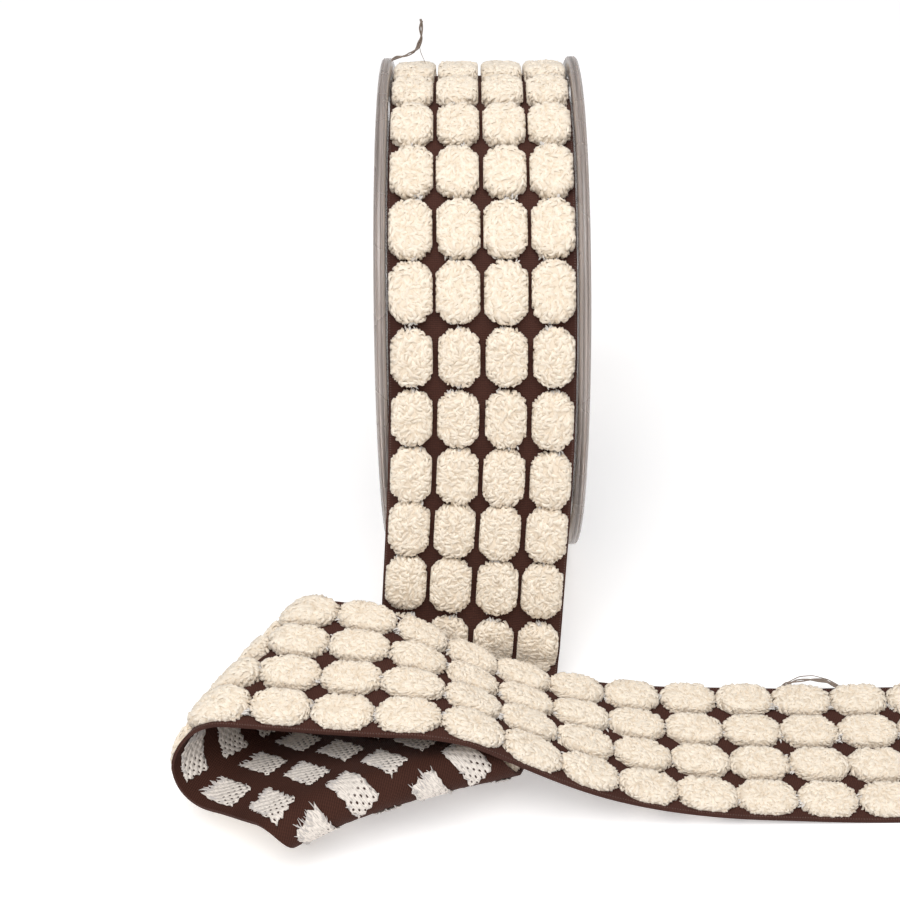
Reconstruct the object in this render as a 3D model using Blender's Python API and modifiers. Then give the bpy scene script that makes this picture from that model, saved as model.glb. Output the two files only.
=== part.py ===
"""Chenille ribbon on its spool.

A ribbon with four lengthwise columns of chenille tufts on one face, wound with its tufts outwards on
a clear spool with two flanges. Its loose end hangs off the front, folds over on the surface, loops
back over itself and runs off flat to the right. Metres, +Z up, the spool's axis along X.
"""

from collections import namedtuple
from math import cos, degrees, radians

import bpy
import bmesh
import numpy as np
from mathutils import Vector
from mathutils.bvhtree import BVHTree

# Gap that touching solids keep
GAP = 0.0003

# Ribbon: the pitch of its tufts along and across, and what they stand on
ROW_PITCH = 0.0126
COLUMN_PITCH = 0.0099
COLUMNS = 4
TAPE_THICKNESS = 0.0010
TUFT_HEIGHT = 0.0048

# Relief of the tufts: places in a pitch where a section is taken, and how far the pile dips
# between two rows, as a share of the tuft's height
ALONG_SHARES = (0.0, 0.2, 0.5, 0.8)
BENT_SHARES = (0.0, 0.12, 0.3, 0.5, 0.7, 0.88)
ACROSS_SHARES = (0.0, 0.14, 0.5, 0.86)
ROW_DIP = 0.34
DOME_POWER = 4
UNDERSIDE_STEPS = 8

# Winding: radius of the tape's tufted face where the ribbon leaves the roll, the angle of that
# place above the front of the axis, what one turn adds, how far the end leans to the left, how
# long the step is where the outer turn starts, and how far below the leaving place the end hangs
# close to the roll
TAPE_RADIUS = 0.0534
LEAVE_ANGLE = 19.0
TURN_STEP = 0.0042
LEAN_LEFT = 3.9
STEP_LENGTH = 0.00025
STEP_SHARE = 0.05
HANGS_CLOSE = 60.0

# Spool
FLANGE_RADIUS = 0.0580
FLANGE_OUTER = 0.0227
DISC_THICKNESS = 0.0012
RIM_THICKNESS = 0.0018
RIM_DEPTH = 0.0024
RIM_ROUND = 0.0005
HUB_OUTER = 0.0240
HUB_INNER = 0.0210
AXIS_HEIGHT = 0.0576
TURN_SEGMENTS = 56

# Loose end, as the bends it takes from the roll outwards. "at" is where a bend starts, measured
# from the roll along the ribbon's middle, and "length" is what it takes up. "turn" is its angle,
# positive towards the tufts, and "slant" sets its line away from square across. A bend whose way
# is SIDE turns the ribbon within its own plane, positive to its right. Metres, degrees.
FACE, SIDE = "face", "side"
Bend = namedtuple("Bend", "at length turn slant way", defaults=(0.0, FACE))
ON_ROLL = 0.0053
BENDS = (
    Bend(at=0.0, length=ON_ROLL, turn=-degrees(ON_ROLL / TAPE_RADIUS)),
    Bend(at=ON_ROLL, length=0.040, turn=-LEAN_LEFT, way=SIDE),
    Bend(at=0.0768, length=0.009, turn=70.0, slant=-16.5),
    Bend(at=0.0860, length=0.010, turn=21.5, slant=-14.0),
    Bend(at=0.1245, length=0.0108, turn=178.0, slant=-33.0),
    Bend(at=0.1659, length=0.014, turn=-94.0, slant=9.5),
    Bend(at=0.1819, length=0.014, turn=-105.0, slant=21.0),
    Bend(at=0.2143, length=0.018, turn=-31.0, slant=-28.0),
    Bend(at=0.2366, length=0.058, turn=28.0, slant=-26.0),
)
SWING = Bend(at=0.2203, length=0.030, turn=7.5, way=SIDE)

# Where the loose end's layers push each other apart, and where its edge droops: the middle of
# each place along and across the ribbon, how far it reaches each way, and the move there
Push = namedtuple("Push", "at across reach spread move")
PUSHES = (
    Push(at=0.106, across=0.022, reach=0.030, spread=0.014, move=(0.0, 0.0, -0.0030)),
    Push(at=0.244, across=-0.012, reach=0.018, spread=0.018, move=(0.0, 0.0, 0.0024)),
    Push(at=0.256, across=0.020, reach=0.018, spread=0.016, move=(0.0, -0.0026, 0.0012)),
    Push(at=0.150, across=-0.0215, reach=0.018, spread=0.009, move=(-0.0002, -0.0004, -0.0032)),
    Push(at=0.172, across=-0.0200, reach=0.010, spread=0.012, move=(-0.0020, -0.0005, -0.0012)),
)

# Rows of tufts in the loose end, those near its tight bends, and the stretch where its weave eases
TAIL_ROWS = 27
BENT_ROWS = range(5, 17)
EASE = 0.0054
EASE_ROWS = (4, 10)

# Where the loose end settles flat on the surface
SETTLE_START = 0.300
SETTLE_LENGTH = 0.035

# Pressed tufts: how low they are on the laid stretch, and between which places along it they get
# so; how far ahead of its foot a tuft feels the ribbon, how much wider than the ribbon it feels
# it, and what then stays between
LAID_HEIGHT = 0.0034
LAID_FLAT = (0.238, 0.262)
FOOT = 0.0002
REACH = 0.012
WIDER = 1.14
PRESS_GAP = 0.0012

# Finishes: colour, roughness and how much light passes through
Finish = namedtuple("Finish", "name colour roughness transmission")
CHENILLE = Finish("chenille", (0.87, 0.78, 0.66, 1.0), 0.9, 0.0)
CLEAR_PLASTIC = Finish("clear_plastic", (0.80, 0.78, 0.77, 0.35), 0.12, 0.9)

# Edges sharper than this stay crisp, in degrees
SHARP_ANGLE = 50.0


def dome(share):
    """Height of a rounded pad across one pitch, from 0 at its edge to 1 in its middle."""
    return 1 - np.abs(2 * share - 1) ** DOME_POWER


def tuft_relief(along, across):
    """Share of the tuft's height at a place in its pitch."""
    return (ROW_DIP + (1 - ROW_DIP) * dome(along)) * dome(across)


def across_places():
    """Shares in a column's pitch, and places across the ribbon, from its left edge to its right."""
    shares = [share for _ in range(COLUMNS) for share in ACROSS_SHARES] + [0.0]
    columns = [column for column in range(COLUMNS) for _ in ACROSS_SHARES] + [COLUMNS]
    shares = np.array(shares)
    places = (np.array(columns) + shares - COLUMNS / 2) * COLUMN_PITCH
    return shares, places


def row_line(row):
    """Where a row of tufts starts, along the loose end."""
    first, last = EASE_ROWS
    return ROW_PITCH * row + EASE * np.clip((row - first) / (last - first), 0, 1)


def bend_over(points, flat, bend):
    """Bend a strip about a line across it. A point is taken by its place on the flat strip."""
    slant = radians(bend.slant)
    turn = radians(bend.turn)
    radius = bend.length / turn
    forward = np.array((np.cos(slant), -np.sin(slant), 0.0))
    line = np.array((np.sin(slant), np.cos(slant), 0.0))
    up = np.array((0.0, 0.0, 1.0))
    if bend.way == SIDE:
        line, up = up, line
    start = np.array((bend.at, 0.0, 0.0))

    passed = (flat - start) @ forward
    local = points - start
    ahead, beside, above = local @ forward, local @ line, local @ up

    inside = np.clip(passed, 0, bend.length)
    angle = inside / radius
    left_over = np.where(passed > bend.length, ahead - bend.length, 0.0)
    bent_ahead = (radius - above) * np.sin(angle) + left_over * np.cos(angle)
    bent_above = radius - (radius - above) * np.cos(angle) + left_over * np.sin(angle)
    bent = (start + np.outer(bent_ahead, forward) + np.outer(beside, line)
            + np.outer(bent_above, up))
    return np.where((passed > 0)[:, None], bent, points)


def swing_aside(u, v):
    """The loose end's slight swing to one side within its own plane."""
    rate = radians(SWING.turn) / SWING.length
    passed = np.clip(u - SWING.at, 0, SWING.length)
    rest = np.maximum(u - SWING.at - SWING.length, 0)
    angle = passed * rate
    ahead = np.minimum(u, SWING.at) + np.sin(angle) / rate - v * np.sin(angle)
    beside = (1 - np.cos(angle)) / rate + v * np.cos(angle)
    return ahead + rest * np.cos(angle), beside + rest * np.sin(angle)


def start_frame():
    """Forward, sideways and outward directions of the ribbon where the loose end starts."""
    angle = radians(LEAVE_ANGLE) + ON_ROLL / TAPE_RADIUS
    outward = Vector((0, -np.cos(angle), np.sin(angle)))
    forward = Vector((0, -np.sin(angle), -np.cos(angle)))
    sideways = outward.cross(forward)
    place = Vector((0, 0, AXIS_HEIGHT)) + TAPE_RADIUS * outward
    return [np.array(item) for item in (forward, sideways, outward, place)]


def lay_free(u, v, w):
    """Places of points of the loose end before the surface holds it up."""
    ahead, beside = swing_aside(u, v)
    flat = np.stack((ahead, beside, np.zeros_like(w)), axis=1)
    points = np.stack((ahead, beside, w), axis=1)
    for bend in reversed(BENDS):
        points = bend_over(points, flat, bend)
    forward, sideways, outward, place = start_frame()
    points = (place + np.outer(points[:, 0], forward) + np.outer(points[:, 1], sideways)
              + np.outer(points[:, 2], outward))
    for push in PUSHES:
        away = ((u - push.at) / push.reach) ** 2 + ((v - push.across) / push.spread) ** 2
        points = points + np.outer(np.exp(-away), push.move)
    settled = np.clip((u - SETTLE_START) / SETTLE_LENGTH, 0, 1)
    settled = settled * settled * (3 - 2 * settled)
    points[:, 2] += settled * (TAPE_THICKNESS + w - points[:, 2])
    return points


def lay(u, v, w):
    """Places of points given along and across the loose end and above its tufted face.

    The surface lifts the tape where it would sink in, and presses the pile that lies under it.
    """
    u, v, w = [np.ravel(item) for item in np.broadcast_arrays(u, v, w)]
    points = lay_free(u, v, w)
    lowest = np.minimum(lay_free(u, v, 0 * w)[:, 2], lay_free(u, v, 0 * w - TAPE_THICKNESS)[:, 2])
    points[:, 2] = np.maximum(points[:, 2] + np.maximum(-lowest, 0), 0)
    return points


def tail_stations():
    """Places along the loose end, closer together in its bends, and their shares in a pitch."""
    places, shares = [], []
    for row in range(TAIL_ROWS):
        start, end = row_line(row), row_line(row + 1)
        for share in BENT_SHARES if row in BENT_ROWS else ALONG_SHARES:
            places.append(max(start + share * (end - start), GAP + STEP_LENGTH))
            shares.append(share)
    return np.array(places + [row_line(TAIL_ROWS)]), np.array(shares + [0.0])


def sheet_tree(places, across, height):
    """The loose end as a bare sheet at one height above its tufted face, to measure against."""
    u, v = np.meshgrid(places, across, indexing="ij")
    points = [Vector(point) for point in lay(u, v, height)]
    width = len(across)
    corners = [i * width + j for i in range(len(places) - 1) for j in range(width - 1)]
    faces = [(c, c + 1, c + width + 1, c + width) for c in corners]
    return BVHTree.FromPolygons(points, faces)


def room_for_tufts(places, across):
    """Height left for the tufts at each place: less where the ribbon lies against itself."""
    u, v = np.meshgrid(places, across, indexing="ij")
    feet = lay(u, v, FOOT)
    tips = lay(u, v, 2 * FOOT)
    tufted = sheet_tree(places, across * WIDER, 0.0)
    bare = sheet_tree(places, across * WIDER, -TAPE_THICKNESS)
    room = np.interp(u.ravel(), LAID_FLAT, (TUFT_HEIGHT, LAID_HEIGHT))
    for i, (foot, tip) in enumerate(zip(feet, tips)):
        direction = Vector(tip - foot).normalized()
        to_tufted = tufted.ray_cast(Vector(foot), direction, REACH)[3]
        to_bare = bare.ray_cast(Vector(foot), direction, REACH)[3]
        if to_tufted is not None:
            room[i] = min(room[i], (to_tufted + FOOT - PRESS_GAP) / 2)
        if to_bare is not None:
            room[i] = min(room[i], to_bare + FOOT - PRESS_GAP)
    room = np.maximum(room, FOOT).reshape(u.shape)
    for axis in (0, 1):
        padded = np.concatenate((room.take([0], axis), room, room.take([-1], axis)), axis)
        count = room.shape[axis]
        room = np.minimum(room, np.minimum(padded.take(range(count), axis),
                                           padded.take(range(2, count + 2), axis)))
    return room


def tail_sections():
    """Outlines of the loose end: its tufted face, then its underside back again."""
    places, along = tail_stations()
    shares, across = across_places()
    under = np.linspace(across[-1], across[0], UNDERSIDE_STEPS + 1)
    sections = []
    for place, share, room in zip(places, along, room_for_tufts(places, across)):
        above = tuft_relief(share, shares) * room
        sections.append(np.vstack((lay(place, across, above), lay(place, under, -TAPE_THICKNESS))))
    return sections


def roll_section(back, along):
    """Outline of the roll at an angle back from its end: the tufts, then the bore's two corners."""
    shares, across = across_places()
    tape = TAPE_RADIUS - TURN_STEP * back / 360
    below_leaving = max(360 - back - degrees(ON_ROLL / TAPE_RADIUS), 0)
    under_tape = (TAPE_RADIUS - TAPE_THICKNESS - GAP) / cos(radians(min(below_leaving, HANGS_CLOSE)))
    height = min(TUFT_HEIGHT, under_tape - tape)
    radii = tape + height * tuft_relief(along, shares)
    radii = np.append(radii, [HUB_OUTER + GAP] * 2)
    across = np.append(across, (across[-1], across[0]))
    angle = radians(LEAVE_ANGLE + back) + ON_ROLL / TAPE_RADIUS
    return np.stack((across, -radii * np.cos(angle), AXIS_HEIGHT + radii * np.sin(angle)), axis=1)


def roll_sections():
    """Outlines of the roll once around, backwards from the place where its last turn ends."""
    row_angle = degrees(ROW_PITCH / TAPE_RADIUS)
    last = 360 - degrees(STEP_LENGTH / TAPE_RADIUS)
    sections = []
    row = 0
    while row * row_angle < last:
        for share in ALONG_SHARES:
            back = (row + share) * row_angle
            if back < last - row_angle * STEP_SHARE:
                sections.append(roll_section(back, share))
        row += 1
    sections.append(roll_section(last, last / row_angle % 1))
    return sections


def new_object(name, mesh, collection):
    """Put a mesh in the scene under its name."""
    item = bpy.data.objects.new(name, mesh)
    collection.objects.link(item)
    return item


def loft(name, sections, closed, collection):
    """Join like outlines into one solid, closed around or with a face at each end."""
    bm = bmesh.new()
    rings = [[bm.verts.new(point) for point in section] for section in sections]
    pairs = list(zip(rings, rings[1:]))
    if closed:
        pairs.append((rings[-1], rings[0]))
    for here, there in pairs:
        for i in range(len(here)):
            j = (i + 1) % len(here)
            bm.faces.new((here[i], here[j], there[j], there[i]))
    if not closed:
        bm.faces.new(rings[0])
        bm.faces.new(reversed(rings[-1]))
    bmesh.ops.recalc_face_normals(bm, faces=bm.faces)
    mesh = bpy.data.meshes.new(name)
    bm.to_mesh(mesh)
    bm.free()
    item = new_object(name, mesh, collection)
    mesh.shade_smooth()
    mesh.set_sharp_from_angle(angle=radians(SHARP_ANGLE))
    return item


def turned(name, outline, facing, collection):
    """Turn an outline of radius and height once around, and stand its axis along X."""
    mesh = bpy.data.meshes.new(name)
    points = [(radius, 0, height) for radius, height in outline]
    edges = [(i, (i + 1) % len(points)) for i in range(len(points))]
    mesh.from_pydata(points, edges, [])
    item = new_object(name, mesh, collection)
    item.rotation_euler = (0, facing * radians(90), 0)
    item.location = (0, 0, AXIS_HEIGHT)
    screw = item.modifiers.new("Turn", "SCREW")
    screw.steps = screw.render_steps = TURN_SEGMENTS
    screw.merge_threshold = GAP / 10
    return item


def flange_outline():
    """A flat disc with a thicker rounded rim, from its outer face's rim corner downwards."""
    rim_inner = FLANGE_OUTER - RIM_THICKNESS
    disc_inner = FLANGE_OUTER - DISC_THICKNESS
    rim_foot = FLANGE_RADIUS - RIM_DEPTH
    return (
        (FLANGE_RADIUS - RIM_ROUND, FLANGE_OUTER),
        (FLANGE_RADIUS, FLANGE_OUTER - RIM_ROUND),
        (FLANGE_RADIUS, rim_inner + RIM_ROUND),
        (FLANGE_RADIUS - RIM_ROUND, rim_inner),
        (rim_foot + RIM_ROUND, rim_inner),
        (rim_foot, disc_inner),
        (HUB_INNER, disc_inner),
        (HUB_INNER, FLANGE_OUTER),
    )


def hub_outline():
    """A plain tube between the two discs."""
    half = FLANGE_OUTER - DISC_THICKNESS - GAP
    return ((HUB_OUTER, half), (HUB_OUTER, -half), (HUB_INNER, -half), (HUB_INNER, half))


def cut_flat(item, cutter):
    """Take the resting flat off a round piece."""
    cut = item.modifiers.new("Resting flat", "BOOLEAN")
    cut.operation = "DIFFERENCE"
    cut.object = cutter


def floor_cutter(collection):
    """A box whose top is the resting surface."""
    size = 3 * FLANGE_RADIUS
    bpy.ops.mesh.primitive_cube_add(size=size, location=(0, 0, -size / 2))
    cutter = bpy.context.object
    cutter.name = "floor_cutter"
    cutter.hide_render = True
    cutter.display_type = "WIRE"
    for owner in cutter.users_collection:
        owner.objects.unlink(cutter)
    collection.objects.link(cutter)
    return cutter


def material_of(finish):
    """A material with a finish's colour, roughness and transmission."""
    material = bpy.data.materials.new(finish.name)
    material.use_nodes = True
    shader = material.node_tree.nodes["Principled BSDF"]
    shader.inputs["Base Color"].default_value = finish.colour
    shader.inputs["Roughness"].default_value = finish.roughness
    shader.inputs["Transmission Weight"].default_value = finish.transmission
    material.diffuse_color = finish.colour
    return material


def new_collection(name):
    """Add a collection to the scene."""
    collection = bpy.data.collections.new(name)
    bpy.context.scene.collection.children.link(collection)
    return collection


def stand_on_origin(parts, collection):
    """Parent the parts to an empty, moved so that the origin lies under their middle."""
    bpy.context.view_layer.update()
    depsgraph = bpy.context.evaluated_depsgraph_get()
    corners = []
    for item in parts:
        solid = item.evaluated_get(depsgraph)
        corners += [solid.matrix_world @ Vector(corner) for corner in solid.bound_box]
    middle = [(min(c[i] for c in corners) + max(c[i] for c in corners)) / 2 for i in (0, 1)]
    base = new_object("base", None, collection)
    for item in parts:
        item.parent = base
    base.location = (-middle[0], -middle[1], 0)


def main():
    """Build the spool and the ribbon."""
    for item in list(bpy.data.objects):
        bpy.data.objects.remove(item)
    parts_in = new_collection("chenille_ribbon_spool")
    cutters_in = new_collection("cutters")

    flanges = [turned("flange_right", flange_outline(), 1, parts_in),
               turned("flange_left", flange_outline(), -1, parts_in)]
    cutter = floor_cutter(cutters_in)
    for flange in flanges:
        cut_flat(flange, cutter)
    hub = turned("hub", hub_outline(), 1, parts_in)
    roll = loft("ribbon_roll", roll_sections(), True, parts_in)
    tail = loft("ribbon_tail", tail_sections(), False, parts_in)

    for made, finish in ((flanges + [hub], CLEAR_PLASTIC), ([roll, tail], CHENILLE)):
        material = material_of(finish)
        for item in made:
            item.data.materials.append(material)
    stand_on_origin(flanges + [hub, roll, tail], parts_in)


main()
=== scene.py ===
"""Looks of a tufted chenille ribbon on its clear spool.

The ribbon is one woven tape: wound on the hub, hanging off the front, folded over on the table,
looped back over itself and laid flat to the right. Rows of chenille tufts stand on one face, and
a patch of their ground weave shows on the other behind each tuft. Lengths are in metres.
"""

from collections import namedtuple
from functools import partial
from math import degrees, pi, radians

import bpy
import numpy as np
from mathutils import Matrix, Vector
from mathutils.bvhtree import BVHTree


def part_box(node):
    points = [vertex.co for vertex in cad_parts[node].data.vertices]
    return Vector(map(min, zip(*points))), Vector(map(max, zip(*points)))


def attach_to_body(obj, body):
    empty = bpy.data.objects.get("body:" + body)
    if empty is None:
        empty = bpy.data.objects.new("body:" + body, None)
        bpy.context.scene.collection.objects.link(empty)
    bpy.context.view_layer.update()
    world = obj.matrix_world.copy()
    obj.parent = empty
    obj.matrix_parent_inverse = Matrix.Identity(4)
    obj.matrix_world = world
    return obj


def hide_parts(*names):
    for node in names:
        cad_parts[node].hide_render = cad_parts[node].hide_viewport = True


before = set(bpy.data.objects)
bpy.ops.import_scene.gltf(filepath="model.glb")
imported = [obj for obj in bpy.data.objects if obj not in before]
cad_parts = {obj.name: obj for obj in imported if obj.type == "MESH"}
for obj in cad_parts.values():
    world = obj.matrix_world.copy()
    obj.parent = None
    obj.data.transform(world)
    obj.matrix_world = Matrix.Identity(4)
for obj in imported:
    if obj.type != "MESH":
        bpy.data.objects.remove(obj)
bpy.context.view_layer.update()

bl_info = {
    "name": "Chenille Ribbon Spool",
    "version": (1, 0, 0),
    "blender": (4, 5, 0),
    "location": "View3D > Sidebar > Ribbon",
    "description": "Tufted chenille ribbon on a clear spool, with its loose end folded on a table",
    "category": "Add Mesh",
}

LEFT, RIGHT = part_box("flange_left"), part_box("flange_right")
AXIS_FOOT = Vector(((LEFT[0][0] + RIGHT[1][0]) / 2, (LEFT[0][1] + LEFT[1][1]) / 2, 0.0))
MM = 0.001

# Ribbon, as the part makes it, but for its tape, which is 0.3 mm thinner. Angles are in degrees
ROW_PITCH = 0.0126
COLUMN_PITCH = 0.0099
COLUMNS = 4
HALF_WIDTH = 0.0198
TAPE_THICKNESS = 0.0007
TAPE_RADIUS = 0.0534
LEAVE_ANGLE = 19.0
TURN_STEP = 0.0042
AXIS_HEIGHT = 0.0576
AXIS_MIDDLE = AXIS_FOOT + Vector((0, 0, AXIS_HEIGHT))
INNERMOST = 0.0252
INNER_END = -(TAPE_RADIUS ** 2 - INNERMOST ** 2) * pi / TURN_STEP
OUTER_END = -2 * pi * TAPE_RADIUS
ON_ROLL = 0.0053
LEAVES_AT = radians(LEAVE_ANGLE) + ON_ROLL / TAPE_RADIUS
LEAN_LEFT = 3.9
HANGS_CLOSE = 60.0

# Rows of tufts are counted from where the ribbon leaves the roll: half the outer turn, the innermost
# row, those of the hanging stretch and the fold, and all of the loose end
HALF_TURN = 13
FIRST_ROW = -131
FOLD_ROWS = 13
TAIL_ROWS = 27

# Loose end: the bends it takes, its swing, where its layers push each other apart, where they press
# the pile, and how its rows ease apart in the fold
FACE, SIDE = "face", "side"
Bend = namedtuple("Bend", "at length turn slant way", defaults=(0.0, FACE))
BENDS = (
    Bend(0.0, ON_ROLL, -degrees(ON_ROLL / TAPE_RADIUS)),
    Bend(ON_ROLL, 0.040, -LEAN_LEFT, way=SIDE),
    Bend(0.0768, 0.009, 70.0, -16.5),
    Bend(0.0860, 0.010, 21.5, -14.0),
    Bend(0.1245, 0.0108, 178.0, -33.0),
    Bend(0.1659, 0.014, -94.0, 9.5),
    Bend(0.1819, 0.014, -105.0, 21.0),
    Bend(0.2143, 0.018, -31.0, -28.0),
    Bend(0.2366, 0.058, 28.0, -26.0),
)
SWING = Bend(0.2203, 0.030, 7.5, way=SIDE)
Push = namedtuple("Push", "at across reach spread move")
PUSHES = (
    Push(0.106, 0.022, 0.030, 0.014, (0.0, 0.0, -0.0030)),
    Push(0.244, -0.012, 0.018, 0.018, (0.0, 0.0, 0.0024)),
    Push(0.256, 0.020, 0.018, 0.016, (0.0, -0.0026, 0.0012)),
    Push(0.150, -0.0215, 0.018, 0.009, (-0.0002, -0.0004, -0.0032)),
    Push(0.172, -0.0200, 0.010, 0.012, (-0.0020, -0.0005, -0.0012)),
)
Press = namedtuple("Press", "at across reach spread share")
PRESSES = (
    Press(0.148, -0.0198, 0.022, 0.013, 0.12),
    Press(0.172, -0.0150, 0.010, 0.020, 0.30),
)
EASE = 0.0054
EASE_ROWS = (4, 10)

# Each tuft stands a little off its place, and so do rows on the roll and the hanging stretch
OFF_CENTRE = 0.00012
DRIFT_ROWS = (-5, 0, 1, 2, 3, 4)
DRIFT = (-0.0015, -0.0004, 0.0005, 0.0010, 0.0008, 0.0)

# Where the loose end comes to lie flat on the table, and over what length
SETTLE_START = 0.300
SETTLE_LENGTH = 0.035

# The pile is lower than the part's envelope of it. On the roll and the hanging stretch the tape
# stands higher by as much, so that the tufts' tops stay where the part has them
PILE = 0.0034
RAISED = 0.0014
RAISED_UNTIL = (0.070, 0.090)
LAID_PILE = 0.0026
LAID_FLAT = (0.190, 0.215)

# The tape's mesh along the ribbon, as from, to and step, then its places where it lies settled and
# its places across
TAPE_STEPS = ((INNER_END, OUTER_END, 0.0030), (OUTER_END, 0.060, 0.0020), (0.060, SETTLE_START, 0.0010))
SETTLED_PLACES = 26
TAPE_ACROSS = 21

# Pile pressed between layers. Its room is measured on a grid, from a foot above the tape as far as
# the reach, against sheets wider than the tape. Facing pile interlocks, other pile keeps a gap, and
# at the tape's sides it may stand a little past the edge
MEASURED_FROM = 0.002
MEASURED_EACH = 0.0021
MEASURED_ACROSS = 17
FOOT = 0.0002
REACH = 0.012
WIDER = 1.14
PRESS_GAP = 0.0004
INTERLOCK = 0.0002
GAP = 0.0003
PAST_EDGE = 0.0003

# Underside: how thick a patch is, how far it stands off the tape and its weave's relief, and the
# threads that fray from it. Floss: frayed ends to each tuft. Both add their own number to the seed
PATCH_THICKNESS = 0.00012
PATCH_LIFT = 0.00014
WEAVE_RELIEF = 0.00006
FRAYED_EACH = 34
FLOSS_EACH = 20
FLOSS_SEED = 20
UNDERSIDE_SEED = 40

# One flange of the spool: radius and distance from the ribbon's middle at each corner of its
# outline, round from the bore's inner edge. Two shallow grooves run around the rim
BORE = 0.0210
DISC_INNER = 0.0213
HAZY_FROM = 0.0534
FLANGE_OUTLINE = (
    (BORE, 0.0225), (0.0560, 0.0225), (0.0568, 0.0226), (0.0576, 0.0224), (0.0580, 0.0220),
    (0.05785, 0.0218), (0.0580, 0.0216), (0.0580, 0.0211), (0.05785, 0.0209), (0.0580, 0.0207),
    (0.0577, 0.0203), (0.0572, 0.02015), (0.0546, 0.02015), (0.0538, 0.0204), (0.0534, 0.0208),
    (0.0530, DISC_INNER), (BORE, DISC_INNER))

# Loose threads, in millimetres from the foot of the spool's axis: one that stands up at the top of
# the roll and a hair beside it, one that arches over the laid end with a hair, and one by a patch.
# The twist is how far a ply turns, in radians, from one point to the next
TWIST = 2.1
Strand = namedtuple("Strand", "plies thickness points")
STRANDS = (
    Strand(2, 1.1, ((-21.3, 21.0, 110.8), (-19.2, 21.0, 111.8), (-17.0, 21.0, 112.2),
                    (-15.4, 21.0, 113.0), (-14.2, 21.0, 114.2), (-13.4, 21.0, 116.4),
                    (-13.4, 21.0, 118.8), (-13.3, 21.0, 120.7))),
    Strand(1, 0.18, ((-13.9, 21.0, 115.0), (-13.6, 20.5, 113.2), (-12.8, 20.0, 111.4),
                     (-11.8, 19.0, 109.2))),
    Strand(2, 1.0, ((65.5, -75.2, 1.8), (67.2, -74.9, 2.7), (69.1, -74.7, 3.3), (72.5, -74.5, 3.6),
                    (75.9, -74.7, 3.3), (78.4, -75.3, 2.2))),
    Strand(1, 0.28, ((66.5, -74.5, 2.0), (70.0, -74.0, 4.0), (73.0, -74.0, 4.3), (76.5, -74.4, 3.4),
                     (79.5, -75.2, 1.8))),
    Strand(1, 0.12, ((-34.5, -105.3, 5.0), (-32.5, -106.8, 4.6), (-30.2, -108.2, 4.0))),
)


def linear(hex_colour):
    """Turn an sRGB hex colour into linear red, green, blue and alpha."""
    shares = [int(hex_colour[i:i + 2], 16) / 255 for i in (0, 2, 4)]
    return tuple(s / 12.92 if s <= 0.04045 else ((s + 0.055) / 1.055) ** 2.4 for s in shares) + (1.0,)


def colour_property(name, description, hex_colour):
    """A colour that the user can change."""
    return bpy.props.FloatVectorProperty(
        name=name, description=description, subtype="COLOR", size=4, min=0, max=1,
        default=linear(hex_colour))


def length_property(name, description, metres, most):
    """A length that the user can change."""
    return bpy.props.FloatProperty(name=name, description=description, default=metres,
                                   min=0.0001, max=most, precision=5, unit="LENGTH")


def strength_property(name, description, strength, subtype="NONE"):
    """A strength of light that the user can change."""
    return bpy.props.FloatProperty(name=name, description=description, default=strength, min=0,
                                   subtype=subtype)


class RibbonSettings(bpy.types.PropertyGroup):
    """Sizes and colours of the ribbon."""
    locks: bpy.props.IntProperty(
        name="Locks per tuft", description="Bundles of pile that stand on each tuft",
        default=240, min=20, max=260)
    lock_length: length_property("Lock length", "Length of one bundle of pile", 0.0023, 0.006)
    lock_width: length_property("Lock width", "Width of one bundle of pile", 0.00068, 0.002)
    ribs: length_property("Rib spacing", "Spacing of the twill lines on the underside", 0.00044, 0.002)
    seed: bpy.props.IntProperty(
        name="Seed", description="Start of the pile's chance arrangement", default=7, min=0)
    pile: colour_property("Pile", "Colour of the tufts in the light", "FCF1E1")
    # Pile depth is painted shade: the pile's colour deep between the locks, at their roots and on the
    # bodies under them
    pile_painted_shade: colour_property("Pile depth", "Colour deep between the locks", "D6C2A8")
    tape: colour_property("Tape", "Colour of the woven tape's tufted face", "4B2F28")
    underside: colour_property("Underside", "Colour of the tape's underside", "3F251D")
    patch: colour_property("Patch", "Colour of the ground weave on the underside", "F2E8DE")
    floss: colour_property("Floss", "Colour of the frayed ends between the rows", "F6F1EC")
    strand: colour_property("Strand", "Colour of the threads that fray from the patches", "E2DAD5")
    thread: colour_property("Thread", "Colour of the loose twisted thread", "9B8B80")


class SpoolSettings(bpy.types.PropertyGroup):
    """Finish of the clear spool."""
    tint: colour_property("Tint", "Colour of the plastic seen edge-on", "C8BBB4")
    wall: colour_property("Wall", "Colour of the plastic seen through the discs", "F8F5F3")
    roughness: bpy.props.FloatProperty(
        name="Roughness", description="How matt the rim is; the discs are four times glossier",
        default=0.24, min=0, max=1, subtype="FACTOR")


class StageSettings(bpy.types.PropertyGroup):
    """Floor, light and camera."""
    floor: colour_property("Floor", "Colour of the table", "F4F3F3")
    glow: strength_property("Glow", "Light that comes through the table", 0.38)
    sky: strength_property("Sky", "Strength of the light from all around", 0.40)
    key: strength_property("Key light", "Power of the large light above", 9.7, "POWER")
    fill: strength_property("Fill light", "Power of the light in front", 0.25, "POWER")
    camera_place: bpy.props.FloatVectorProperty(
        name="Camera place", description="From the foot of the spool's axis",
        default=(-0.00271, -0.35191, 0.25683), subtype="TRANSLATION", unit="LENGTH")
    camera_turn: bpy.props.FloatVectorProperty(
        name="Camera turn", description="Turn about X, Y and Z",
        default=(radians(55.497), radians(0.742), radians(0.337)), subtype="EULER")
    lens: bpy.props.FloatProperty(
        name="Lens", description="Focal length on a sensor 36 mm wide, in millimetres",
        default=66.8, min=10)


def row_line(row):
    """Where a row of tufts starts, along the ribbon from the place where it leaves the roll."""
    first, last = EASE_ROWS
    return (ROW_PITCH * row + EASE * np.clip((row - first) / (last - first), 0, 1)
            + np.interp(row, DRIFT_ROWS, DRIFT))


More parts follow.
